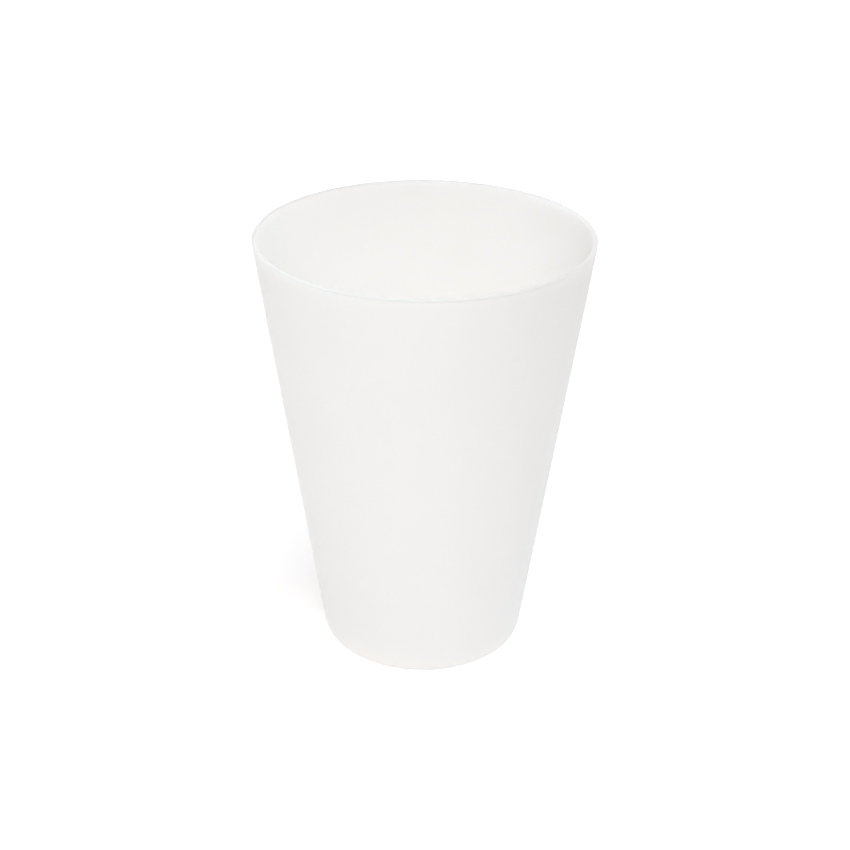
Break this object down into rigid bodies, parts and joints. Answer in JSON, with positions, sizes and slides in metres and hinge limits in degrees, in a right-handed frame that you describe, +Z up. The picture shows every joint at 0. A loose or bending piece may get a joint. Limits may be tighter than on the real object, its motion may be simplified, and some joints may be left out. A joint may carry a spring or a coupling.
{
  "type": "reusable plastic cup",
  "caption": "Tapered round drinking cup with a thin rounded rim and a recessed foot, moulded in one piece from frosted translucent plastic.",
  "frame": {"origin": "centre of the foot, on the surface that the cup stands on", "axes": "+Z up along the cup's axis, towards the rim; the cup is round, so X and Y are free"},
  "size_m": [0.09, 0.09, 0.12],
  "materials": {
    "frosted_plastic": "frosted, milky translucent"
  },
  "bodies": {
    "root": {"cup": "frosted_plastic"}
  },
  "joints": []
}
